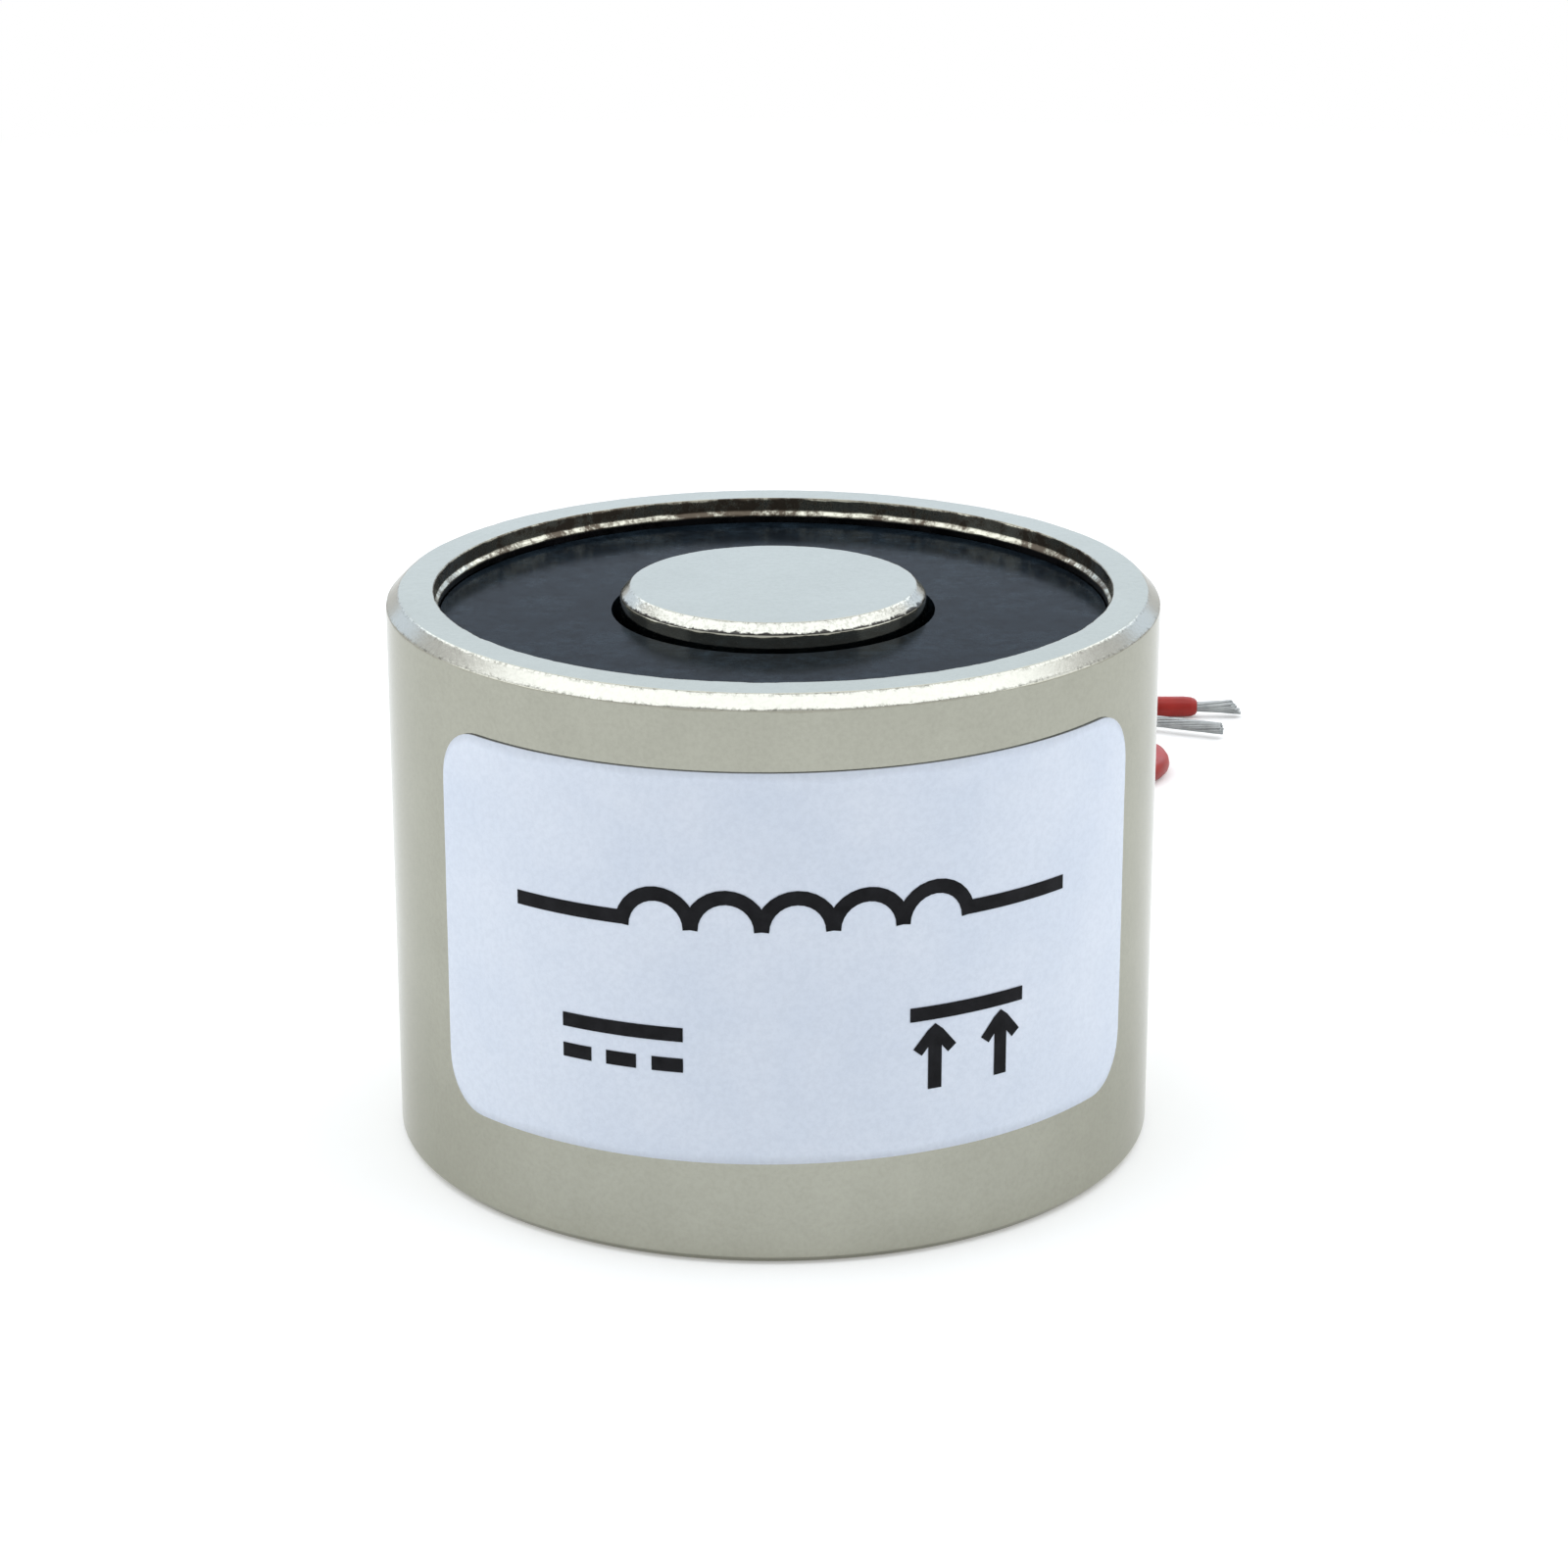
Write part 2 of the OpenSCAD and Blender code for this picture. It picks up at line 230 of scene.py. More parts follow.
def radius_and_height(tree):
    """The distance from the part's axis and the height, in metres."""
    source = add_node(tree, "ShaderNodeTexCoord")
    parts = add_node(tree, "ShaderNodeSeparateXYZ")
    tree.links.new(source.outputs["Object"], parts.inputs[0])
    x, y, z = parts.outputs
    square = math_node(tree, "ADD", product(tree, x, x), product(tree, y, y))
    return math_node(tree, "POWER", square, 0.5), z


def blend(tree, share, first, second):
    """A colour that goes from the first, another node's output, to the second, a fixed one."""
    made = add_node(tree, "ShaderNodeMix", settings={"data_type": "RGBA"})
    tree.links.new(share, made.inputs["Factor"])
    tree.links.new(first, made.inputs["A"])
    made.inputs["B"].default_value = (*second, 1)
    return made.outputs["Result"]


def mottled(name, dark, light, roughness, scale, relief=0.2, depth=2e-5, metallic=0.0, shine=0.5):
    """A plain finish with a mottled colour, an uneven gloss and a fine relief."""
    made, tree, shader = new_material(name)
    place = object_coordinates(tree)
    broad = noise_texture(tree, place, scale)
    fine = noise_texture(tree, place, scale * 6)
    links = tree.links
    links.new(ramp(tree, broad, [(0.3, dark), (0.7, light)]), shader.inputs["Base Color"])
    links.new(spread(tree, fine, *roughness), shader.inputs["Roughness"])
    links.new(bump(tree, fine, relief, depth), shader.inputs["Normal"])
    shader.inputs["Metallic"].default_value = metallic
    shader.inputs["Specular IOR Level"].default_value = shine
    return made


# Materials


# Colours of nickel plate where it is gritty, bright or worn, of what lies on it, and of the painted
# shade at the foot of the mouth's step
GRITTY_NICKEL = (0.2, 0.2, 0.17)
CHAMFER_NICKEL = (0.372, 0.373, 0.343)
WORN_NICKEL = (0.2, 0.2, 0.175)
NICK_DARK = (0.035, 0.034, 0.032)
RESIDUE_BROWN = (0.075, 0.062, 0.048)
# Painted shade for the foot of the mouth's step
STEP_SHADE_BLACK = (0.014, 0.014, 0.016)
NICKEL_TINT = (0.84, 0.84, 0.82, 1)

# Share of the bright colour on a chamfer, and roughness added there and under residue
CHAMFER_SHARE = 0.75
CHAMFER_ROUGHER = 0.05
RESIDUE_ROUGHER = 0.25

# Strength of the plate's relief, what worn edges add to it, and its depth in metres
PLATE_RELIEF = 0.14
EDGE_RELIEF = 0.8
PLATE_DEPTH = 1.5e-5

# Stepped mouth: half the zone on the radius, its foot, and the height over which the painted shade
# at the foot of the step fades
STEP_HALF = 0.12
MOUTH_LOW = 20.5
STEP_SHADE_FADE = 0.08


def chamfer_mask(tree, radius, height, chamfer):
    """1 on a chamfer, given by its inner radius, its foot and its top, and otherwise 0."""
    inner_r, low, _ = chamfer
    outside = math_node(tree, "GREATER_THAN", radius, inner_r * MM)
    above = math_node(tree, "GREATER_THAN", height, low * MM)
    return product(tree, outside, above)


def chamfer_edges(tree, height, chamfer, wear):
    """From the wear in a chamfer's middle to 1 at its two edges."""
    _, low, high = chamfer
    middle = (low + high) / 2
    half = (high - low) / 2
    off_middle = math_node(tree, "SUBTRACT", height, middle * MM)
    distance = math_node(tree, "ABSOLUTE", off_middle)
    return spread(tree, distance, wear, 1, half * 0.5 * MM, half * 0.9 * MM)


def chamfer_nicks(tree, place, height, chamfer):
    """1 where a chamfer is nicked, which is mostly along its foot."""
    _, low, high = chamfer
    fade = 0.65 * (high - low)
    at_foot = spread(tree, height, 0.46, 0.05, low * MM, (low + fade) * MM)
    notches = product(tree, noise_texture(tree, place, 2400, 4, 0.7), 0.6)
    return spread(tree, math_node(tree, "ADD", at_foot, notches), 0, 1, 0.62, 0.68)


def mouth_stain_and_shade(tree, place, radius, height):
    """How stained the stepped mouth is, and how much painted shade darkens the foot of its step."""
    step_r = (MOUTH_R + BORE_R) / 2
    within = math_node(tree, "LESS_THAN", radius, (step_r + STEP_HALF) * MM)
    above = math_node(tree, "GREATER_THAN", height, MOUTH_LOW * MM)
    inside = product(tree, within, above)
    from_step = math_node(tree, "ABSOLUTE", math_node(tree, "SUBTRACT", radius, step_r * MM))
    off_step = math_node(tree, "GREATER_THAN", from_step, STEP_HALF * 0.7 * MM)
    film = noise_texture(tree, place, 1300, 6, 0.8)
    smudge = product(tree, noise_texture(tree, place, 260, 2), 0.7)
    residue = spread(tree, math_node(tree, "ADD", film, smudge), 0, 1, 0.76, 0.92)
    on_walls = product(tree, off_step, spread(tree, film, 0.35, 1, 0.35, 0.6))
    stained = product(tree, inside, math_node(tree, "MAXIMUM", on_walls, residue))
    # Painted shade: the bore wall below the step is darkened towards black
    foot = spread(tree, height, 1, 0, (STEP_LOW - STEP_SHADE_FADE) * MM, STEP_LOW * MM)
    return stained, product(tree, inside, foot)


def nickel_material(name, dark, light, roughness, chamfer, wear, stepped=False, nicked=False):
    """Satin nickel plate, cloudy and finely gritty, with a bright chamfer worn at its edges.

    A nicked one has nicks along the chamfer; a stepped one has residue in the mouth and painted
    shade at the step's foot.
    """
    made, tree, shader = new_material(name)
    place = object_coordinates(tree)
    cloud = noise_texture(tree, place, 260, 9, 0.72)
    grit = noise_texture(tree, place, 5200, 3, 0.65)
    specks = spread(tree, noise_texture(tree, place, 5600, 4, 0.7), 1, 0, 0.4, 0.5)
    radius, height = radius_and_height(tree)
    on_chamfer = chamfer_mask(tree, radius, height, chamfer)
    at_edge = product(tree, on_chamfer, chamfer_edges(tree, height, chamfer, wear))
    colour = ramp(tree, cloud, [(0.3, dark), (0.7, light)])
    colour = blend(tree, spread(tree, grit, 0, 0.12, 0.4, 0.65), colour, GRITTY_NICKEL)
    colour = blend(tree, product(tree, on_chamfer, CHAMFER_SHARE), colour, CHAMFER_NICKEL)
    colour = blend(tree, product(tree, at_edge, specks), colour, WORN_NICKEL)
    rougher = product(tree, on_chamfer, CHAMFER_ROUGHER)
    gloss = math_node(tree, "ADD", spread(tree, grit, *roughness), rougher)
    if nicked:
        nicks = product(tree, on_chamfer, chamfer_nicks(tree, place, height, chamfer))
        colour = blend(tree, nicks, colour, NICK_DARK)
    if stepped:
        stained, step_shade = mouth_stain_and_shade(tree, place, radius, height)
        colour = blend(tree, stained, colour, RESIDUE_BROWN)
        gloss = math_node(tree, "ADD", gloss, product(tree, stained, RESIDUE_ROUGHER))
        # Painted shade at the foot of the step
        colour = blend(tree, step_shade, colour, STEP_SHADE_BLACK)
    relief = math_node(tree, "ADD", product(tree, at_edge, EDGE_RELIEF), PLATE_RELIEF)
    links = tree.links
    links.new(colour, shader.inputs["Base Color"])
    links.new(gloss, shader.inputs["Roughness"])
    links.new(bump(tree, grit, relief, PLATE_DEPTH), shader.inputs["Normal"])
    shader.inputs["Metallic"].default_value = 1
    shader.inputs["Specular Tint"].default_value = NICKEL_TINT
    return made


NYLON_DARK = (0.0022, 0.0042, 0.0065)
NYLON_LIGHT = (0.015, 0.0245, 0.033)


def nylon_material():
    """Dark moulded nylon with a soft, patchy shine."""
    made, tree, shader = new_material("moulded_nylon")
    place = object_coordinates(tree)
    cloud = noise_texture(tree, place, 1500, 7, 0.8)
    grain = noise_texture(tree, place, 7000, 3, 0.6)
    links = tree.links
    patches = spread(tree, noise_texture(tree, place, 330, 3), 0, 0.6, 0.4, 0.62)
    shades = [(0.38, NYLON_DARK), (0.64, NYLON_LIGHT)]
    colour = blend(tree, patches, ramp(tree, cloud, shades), NYLON_DARK)
    links.new(colour, shader.inputs["Base Color"])
    links.new(spread(tree, cloud, 0.2, 0.1), shader.inputs["Roughness"])
    links.new(bump(tree, grain, 0.22, 8e-6), shader.inputs["Normal"])
    shader.inputs["Specular IOR Level"].default_value = 0.01
    return made


def winding_material():
    """Enamelled copper wire, as fine rings one above another."""
    made, tree, shader = new_material("enamelled_winding")
    place = object_coordinates(tree)
    rings = add_node(
        tree,
        "ShaderNodeTexWave",
        settings={"wave_type": "BANDS", "bands_direction": "Z"},
        inputs={"Scale": 900, "Distortion": 0.4, "Detail": 1},
    )
    links = tree.links
    links.new(place, rings.inputs["Vector"])
    shades = [(0.1, (0.16, 0.05, 0.02)), (0.8, (0.62, 0.28, 0.12))]
    links.new(ramp(tree, rings.outputs["Fac"], shades), shader.inputs["Base Color"])
    links.new(bump(tree, rings.outputs["Fac"], 0.6, 5e-5), shader.inputs["Normal"])
    shader.inputs["Metallic"].default_value = 0.8
    shader.inputs["Roughness"].default_value = 0.3
    return made


# The label's paper, its flecks and the painted shade along its cut edge
PAPER_SHADES = [(0.32, (0.78, 0.84, 0.935)), (0.68, (0.84, 0.89, 0.97))]
FLECK_GREY = (0.5, 0.55, 0.64)
PAINTED_EDGE_SHADE = (0.09, 0.088, 0.082)

# Depths below the label's face between which the painted shade fades out
EDGE_SHADE_DEEP = 0.06
EDGE_SHADE_FADED = 0.01


def paper_material():
    """Matt coated paper with faint cloudy fibres and painted shade along its cut edge."""
    made, tree, shader = new_material("label_paper")
    place = object_coordinates(tree)
    cloud = noise_texture(tree, place, 260, 5, 0.6)
    fibre = noise_texture(tree, object_coordinates(tree, (1, 1, 2.5)), 1900, 4, 0.6)
    links = tree.links
    flecks = spread(tree, noise_texture(tree, place, 4600, 3, 0.7), 0, 0.14, 0.4, 0.62)
    colour = blend(tree, flecks, ramp(tree, cloud, PAPER_SHADES), FLECK_GREY)
    radius = radius_and_height(tree)[0]
    # Painted shade on the paper's cut edge, strongest deepest below its face
    at_cut = spread(tree, radius, 1, 0, (LABEL_R - EDGE_SHADE_DEEP) * MM, (LABEL_R - EDGE_SHADE_FADED) * MM)
    edge_shade = product(tree, at_cut, spread(tree, cloud, 0.7, 1))
    links.new(blend(tree, edge_shade, colour, PAINTED_EDGE_SHADE), shader.inputs["Base Color"])
    links.new(spread(tree, fibre, 0.5, 0.62), shader.inputs["Roughness"])
    links.new(bump(tree, fibre, 0.18, 1.2e-5), shader.inputs["Normal"])
    shader.inputs["Specular IOR Level"].default_value = 0.3
    return made


def insulation_material():
    """Soft red vinyl with a light bloom and fine draw lines."""
    made, tree, shader = new_material("red_insulation")
    place = object_coordinates(tree)
    bloom = noise_texture(tree, place, 700, 4)
    grain = noise_texture(tree, place, 5200, 2)
    links = tree.links
    shades = [(0.3, (0.285, 0.0125, 0.0085)), (0.72, (0.38, 0.022, 0.015))]
    links.new(ramp(tree, bloom, shades), shader.inputs["Base Color"])
    links.new(spread(tree, bloom, 0.36, 0.5), shader.inputs["Roughness"])
    links.new(bump(tree, grain, 0.12, 1.5e-5), shader.inputs["Normal"])
    shader.inputs["Specular IOR Level"].default_value = 0.3
    return made


wall_nickel = nickel_material(
    "wall_nickel",
    dark=(0.352, 0.351, 0.295),
    light=(0.391, 0.39, 0.33),
    roughness=(0.11, 0.16),
    chamfer=(BODY_R - FACE_CHAMFER, BODY_H - FACE_CHAMFER, BODY_H),
    wear=0.1,
    stepped=True,
)
pole_nickel = nickel_material(
    "pole_nickel",
    dark=(0.35, 0.35, 0.3),
    light=(0.388, 0.388, 0.335),
    roughness=(0.1, 0.15),
    chamfer=(CORE_R - CORE_CHAMFER, BODY_H - CORE_CHAMFER, BODY_H),
    wear=0.45,
    nicked=True,
)

# The thread has no chamfer, so the zone given for one lies outside the pot
thread_nickel = nickel_material(
    "thread_nickel",
    dark=(0.36, 0.36, 0.32),
    light=(0.46, 0.46, 0.4),
    roughness=(0.2, 0.3),
    chamfer=(BODY_R, 0, BODY_H),
    wear=0,
)

nylon = nylon_material()
winding = winding_material()
tape = mottled(
    "amber_tape", (0.55, 0.34, 0.05), (0.68, 0.45, 0.09), roughness=(0.2, 0.35), scale=300
)
rubber = mottled(
    "black_rubber",
    (0.012, 0.012, 0.013),
    (0.03, 0.03, 0.031),
    roughness=(0.5, 0.7),
    scale=900,
    relief=0.3,
)
sleeve_grey = mottled(
    "grey_sleeve",
    (0.14, 0.14, 0.145),
    (0.21, 0.21, 0.215),
    roughness=(0.45, 0.6),
    scale=800,
    relief=0.3,
)
paper = paper_material()
ink = mottled(
    "printed_ink",
    (0.006, 0.006, 0.007),
    (0.014, 0.014, 0.016),
    roughness=(0.5, 0.65),
    scale=1600,
    shine=0.1,
)
red = insulation_material()
tie_white = mottled(
    "tie_strip",
    (0.72, 0.72, 0.7),
    (0.82, 0.82, 0.8),
    roughness=(0.35, 0.5),
    scale=700,
    relief=0.25,
)
tinned = mottled(
    "tinned_strands",
    (0.28, 0.295, 0.295),
    (0.39, 0.405, 0.405),
    roughness=(0.42, 0.6),
    scale=1800,
    relief=0.3,
    metallic=0.85,
)


# Mesh helpers


def make_piece(name, points, faces, material, replaced=()):
    """A mesh piece from points in millimetres, riding on the part."""
    mesh = bpy.data.meshes.new(name)
    mesh.from_pydata([[c * MM for c in p] for p in points], [], faces)
    mesh.materials.append(material)
    shaped = bmesh.new()
    shaped.from_mesh(mesh)
    bmesh.ops.remove_doubles(shaped, verts=shaped.verts, dist=1e-7)
    bmesh.ops.dissolve_degenerate(shaped, edges=shaped.edges, dist=1e-8)
    bmesh.ops.recalc_face_normals(shaped, faces=shaped.faces)
    for face in shaped.faces:
        face.smooth = True
    shaped.to_mesh(mesh)
    shaped.free()
    piece = bpy.data.objects.new(name, mesh)
    scene.collection.objects.link(piece)
    return add_piece(piece, replaced)


def add_piece(piece, replaced=()):
    """Lets a piece ride on the part, and hides the nodes that it stands for."""
    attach(piece, "root")
    if replaced:
        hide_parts(*replaced)
    return piece


def grid_faces(rows, columns, loop_rows=False, loop_columns=False):
    """Quads of a grid of points, row after row, closed on itself where asked."""
    faces = []
    for i in range(rows if loop_rows else rows - 1):
        for j in range(columns if loop_columns else columns - 1):
            here = i * columns
            below = (i + 1) % rows * columns
            right = (j + 1) % columns
            faces.append((here + j, here + right, below + right, below + j))
    return faces


def rounded_outline(corners, cuts, steps=3, support=0.05):
    """An outline with its corners rounded off, and a point kept close by on each straight side."""
    made = []
    count = len(corners)
    for i, (corner, cut) in enumerate(zip(corners, cuts)):
        here = Vector(corner)
        back = Vector(corners[i - 1]) - here
        ahead = Vector(corners[(i + 1) % count]) - here
        first = here + back.normalized() * cut
        last = here + ahead.normalized() * cut
        made.append(first + back.normalized() * min(support, back.length / 5))
        for k in range(steps + 1):
            t = k / steps
            made.append((1 - t) ** 2 * first + 2 * t * (1 - t) * here + t * t * last)
        made.append(last + ahead.normalized() * min(support, ahead.length / 5))
    return made


# Noise along worn edges: its fall-off, how much finer each level is, the levels, and how far
# apart the noise of one edge lies from that of the next
RAGGED_FALL = 0.6
RAGGED_FINER = 2.2
RAGGED_LEVELS = 5
RAGGED_APART = 3.7


def ragged(turn, seed, size, fineness=60):
    """An uneven offset along an edge, with about as many waves round the axis as the fineness."""
    r = fineness / 6
    at = Vector((math.cos(turn) * r, math.sin(turn) * r, seed * RAGGED_APART))
    return size * noise.fractal(at, RAGGED_FALL, RAGGED_FINER, RAGGED_LEVELS)


def turned_piece(name, outline_at, segments, closed, material, replaced):
    """A turned piece whose outline may differ a little from angle to angle."""
    points = []
    for i in range(segments):
        turn = 2 * math.pi * i / segments
        outline = outline_at(turn)
        points += [(r * math.cos(turn), r * math.sin(turn), z) for r, z in outline]
    faces = grid_faces(segments, len(outline), loop_rows=True, loop_columns=closed)
    return make_piece(name, points, faces, material, replaced)


# Leads


def smooth_step(value, start):
    """From 0 to 1 within 90 degrees after the start."""
    t = min(max((value - start) / 90, 0), 1)
    return t * t * (3 - 2 * t)


def coil_points(outer, inner):
    """A lead's turns in the coil: in at the foot, up in the middle and out at the top."""
    made = []
    turned = COIL_STEP
    while turned < COIL_TURN:
        inwards = smooth_step(turned, COIL_IN_AT) - smooth_step(turned, COIL_OUT_AT)
        r = outer + (inner - outer) * inwards
        z = LOW_Z + (TOP_Z - LOW_Z) * smooth_step(turned, COIL_UP_AT)
        angle = math.radians(180 - turned)
        made.append((COIL_X + r * math.cos(angle), COIL_Y + r * math.sin(angle), z))
        turned += COIL_STEP
    return made


def inside_points(side):
    """A lead's route inside the pot, from its sleeve to the inner face of the wall."""
    sine = math.sin(SLEEVE_TURN)
    cosine = math.cos(SLEEVE_TURN)
    middle = Vector((side * SLEEVE_AXIS_R * sine, SLEEVE_AXIS_R * cosine, EXIT_Z))
    way = Vector((side * cosine, -sine, 0))
    mouth = middle - way * SLEEVE_LEN / 2
    wall = Vector((side * EXIT_X, BORE_R, EXIT_Z))
    second = mouth - way * BEND_PULL
    third = wall - Vector((0, BEND_PULL, 0))
    made = [mouth + way * SLEEVE_GRIP]
    for i in range(BEND_STEPS + 1):
        t = i / BEND_STEPS
        u = 1 - t
        made.append(u**3 * mouth + 3 * u * u * t * second + 3 * u * t * t * third + t**3 * wall)
    return made


def behind_wall(route):
    """Points of a route with y measured from the axis."""
    return [(x, BODY_R + y, z) for x, y, z in route]


# How an insulation's cut end is drawn in, as distance from the end and share of the full radius
CUT_END = ((0.7, 1), (0.3, 0.93), (0.1, 0.8), (0, 0.62))


def lead_curve(name, points, replaced):
    """A lead as one smooth open curve with a round section, drawn in where it is cut."""
    data = bpy.data.curves.new(name, "CURVE")
    data.dimensions = "3D"
    data.bevel_depth = LEAD_R * MM
    data.bevel_resolution = 5
    data.resolution_u = 6
    data.use_fill_caps = True
    data.materials.append(red)
    end = Vector(points[-1])
    ahead = (end - Vector(points[-2])).normalized()
    places = [(Vector(point), 1) for point in points[:-1]]
    places += [(end - ahead * back, size) for back, size in CUT_END]
    spline = data.splines.new("BEZIER")
    spline.bezier_points.add(len(places) - 1)
    for knot, (place, size) in zip(spline.bezier_points, places):
        knot.co = place * MM
        knot.radius = size
        knot.handle_left_type = "AUTO"
        knot.handle_right_type = "AUTO"
    piece = bpy.data.objects.new(name, data)
    scene.collection.objects.link(piece)
    return add_piece(piece, replaced)


lead_1 = lead_curve(
    "lead_1_insulation",
    inside_points(-1) + behind_wall(ROOT_1) + coil_points(*COIL_R_1) + behind_wall(END_1),
    ["lead_1_root", "lead_1_end", "lead_coil"],
)
lead_2 = lead_curve(
    "lead_2_insulation",
    inside_points(1) + behind_wall(ROOT_2) + coil_points(*COIL_R_2) + behind_wall(END_2),
    ["lead_2_root", "lead_2_end", "lead_coil"],
)


# Bare ends of the leads


def swept_tube(path, radius, sides=8):
    """Points and faces of a closed tube along a path that never runs straight up."""
    points = []
    for i, here in enumerate(path):
        ahead = (path[min(i + 1, len(path) - 1)] - path[max(i - 1, 0)]).normalized()
        across = ahead.cross(Vector((0, 0, 1))).normalized()
        above = across.cross(ahead)
        for k in range(sides):
            turn = 2 * math.pi * k / sides
            points.append(here + radius * (math.cos(turn) * across + math.sin(turn) * above))
    faces = grid_faces(len(path), sides, loop_columns=True)
    faces.append(tuple(range(sides)))
    faces.append(tuple(len(points) - 1 - k for k in range(sides)))
    return points, faces


# Where each wire starts, measured from the insulation's end, and the number of steps along it
WIRE_START = -0.3
WIRE_STEPS = 16

# How much the wires differ in angle, flare and length, and how late they flare
ANGLE_SPREAD = 0.15
FLARE_SPREAD = (0.8, 1.1)
REACH_SPREAD = 0.06
FLARE_POWER = 1.6


def bare_end(name, route, length, rings, wire_r, flare, slant, lay_turn, replaced):
    """Tinned wires that come out of a lead's insulation and spread a little towards their cut ends.

    Each ring of wires is given by its radius and its number of wires.
    """
    path = [Vector(p) for p in behind_wall(route)]
    start = path[-1]
    ahead = (path[-1] - path[-2]).normalized()
    ahead.z = 0
    ahead.normalize()
    above = Vector((0, 0, 1))
    across = ahead.cross(above)
    points = []
    faces = []
    for ring_r, count in rings:
        for k in range(count):
            angle = 2 * math.pi * k / count + random.uniform(-ANGLE_SPREAD, ANGLE_SPREAD)
            own_flare = flare * random.uniform(*FLARE_SPREAD)
            end_height = ring_r / rings[-1][0] * math.sin(angle + lay_turn)
            reach = length * (1 - slant * (1 + end_height) / 2) - random.uniform(0, REACH_SPREAD)
            line = []
            for i in range(WIRE_STEPS + 1):
                along = WIRE_START + (reach - WIRE_START) * i / WIRE_STEPS
                share = max(along, 0) / length
                r = ring_r * (1 + own_flare * share**FLARE_POWER)
                turn = angle + lay_turn * share
                out = r * (math.cos(turn) * across + math.sin(turn) * above)
                line.append(start + ahead * along + out)
            made_points, made_faces = swept_tube(line, wire_r)
            faces += [tuple(i + len(points) for i in face) for face in made_faces]
            points += made_points
    return make_piece(name, points, faces, tinned, replaced)


bare_1 = bare_end(
    "lead_1_bare_end",
    END_1,
    length=2.4,
    rings=[(0.001, 1), (0.11, 9), (0.2, 16)],
    wire_r=0.075,
    flare=0.8,
    slant=0.26,
    lay_turn=0.9,
    replaced=["lead_1_strands"],
)
bare_2 = bare_end(
    "lead_2_bare_end",
    END_2,
    length=5.4,
    rings=[(0.001, 1), (0.13, 6), (0.235, 12)],
    wire_r=0.07,
    flare=0.05,
    slant=0.03,
    lay_turn=2.6,
    replaced=["lead_2_strands"],
)


# Tie round the coil

TIE_TURN = math.radians(135)
TIE_IN = 4.235
TIE_OUT = 8.85
TIE_TOP = 2.55
TIE_T = 0.25
TIE_W = 2
TIE_TAIL = 5
TIE_CORNER = 0.5
TIE_CORNER_STEPS = 6
TIE_TWISTS = 3.5
TAIL_STEPS = 60
TAIL_SIDES = 12
TAIL_START = 0.1
TAIL_MORE = 0.15
TAIL_WIDE = 0.48
TAIL_THIN = 0.2

# Places across the strip, as shares of half its width
TIE_ACROSS = (-1, -0.92, -0.3, -0.12, 0, 0.12, 0.3, 0.92, 1)

# Half the strip's thickness over its wire, elsewhere and at its edges, as shares of TIE_T
OVER_WIRE = 0.5
OFF_WIRE = 0.3
AT_EDGE = 0.18
WIRE_SHARE = 0.2


def tie_place(out, along, z):
    """A point of the tie from its distance from the coil's axis, along the coil, and its height."""
    return (
        COIL_X + out * math.cos(TIE_TURN) - along * math.sin(TIE_TURN),
        COIL_Y + out * math.sin(TIE_TURN) + along * math.cos(TIE_TURN),
        z,
    )


def tie_loop():
    """The strip's middle line round the coil, as place and outward direction in the section."""
    made = []
    half = TIE_T / 2
    corners = [
        (TIE_OUT, TIE_T, -90),
        (TIE_OUT, TIE_TOP, 0),
        (TIE_IN, TIE_TOP, 90),
        (TIE_IN, TIE_T, 180),
    ]
    r = TIE_CORNER + half
    for out, z, start in corners:
        middle_out = out + (-TIE_CORNER if out == TIE_OUT else TIE_CORNER)
        middle_z = z + (-TIE_CORNER if z == TIE_TOP else TIE_CORNER)
        for k in range(TIE_CORNER_STEPS + 1):
            turn = math.radians(start + 90 * k / TIE_CORNER_STEPS)
            way = (math.cos(turn), math.sin(turn))
            made.append((middle_out + r * way[0], middle_z + r * way[1], way))
    return made


def tie_piece():
    """A flat strip with a wire in its middle, wrapped round the coil and twisted into a tail."""
    points = []
    section = []
    for across in TIE_ACROSS:
        thick = OVER_WIRE if abs(across) < WIRE_SHARE else OFF_WIRE
        if abs(across) == 1:
            thick = AT_EDGE
        section.append((across * TIE_W / 2, thick * TIE_T))
    ring = section + [(along, -thick) for along, thick in reversed(section)]
    loop = tie_loop()
    for out, z, way in loop:
        for along, lift in ring:
            points.append(tie_place(out + lift * way[0], along, z + lift * way[1]))
    faces = grid_faces(len(loop), len(ring), loop_rows=True, loop_columns=True)
    first = len(points)
    for i in range(TAIL_STEPS + 1):
        t = i / TAIL_STEPS
        turn = 2 * math.pi * TIE_TWISTS * t
        for k in range(TAIL_SIDES):
            angle = 2 * math.pi * k / TAIL_SIDES
            wide = TAIL_WIDE * math.cos(angle)
            thin = TAIL_THIN * math.sin(angle)
            along = wide * math.cos(turn) - thin * math.sin(turn)
            z = 2 * TIE_T + wide * math.sin(turn) + thin * math.cos(turn)
            points.append(tie_place(TIE_OUT + TAIL_START + (TIE_TAIL + TAIL_MORE) * t, along, z))
    tail = grid_faces(TAIL_STEPS + 1, TAIL_SIDES, loop_columns=True)
    tail.append(tuple(range(TAIL_SIDES)))
    tail.append(tuple(TAIL_STEPS * TAIL_SIDES + k for k in reversed(range(TAIL_SIDES))))
    faces += [tuple(i + first for i in face) for face in tail]
    return make_piece("lead_tie_strip", points, faces, tie_white, ["lead_tie"])


tie = tie_piece()


# Pot and pole

POT_SEGMENTS = 1080
POLE_SEGMENTS = 720
POLE_FINENESS = 36
LEAST_WEAR = 0.015
BORE_CUT_LENGTH = 6
BORE_CUT_Y = BODY_R - 1


def worn(turn, seed, size=0.05, fineness=60):
    """The rounding of a worn edge, which differs with the angle."""
    return max(LEAST_WEAR, size + ragged(turn, seed, size, fineness))


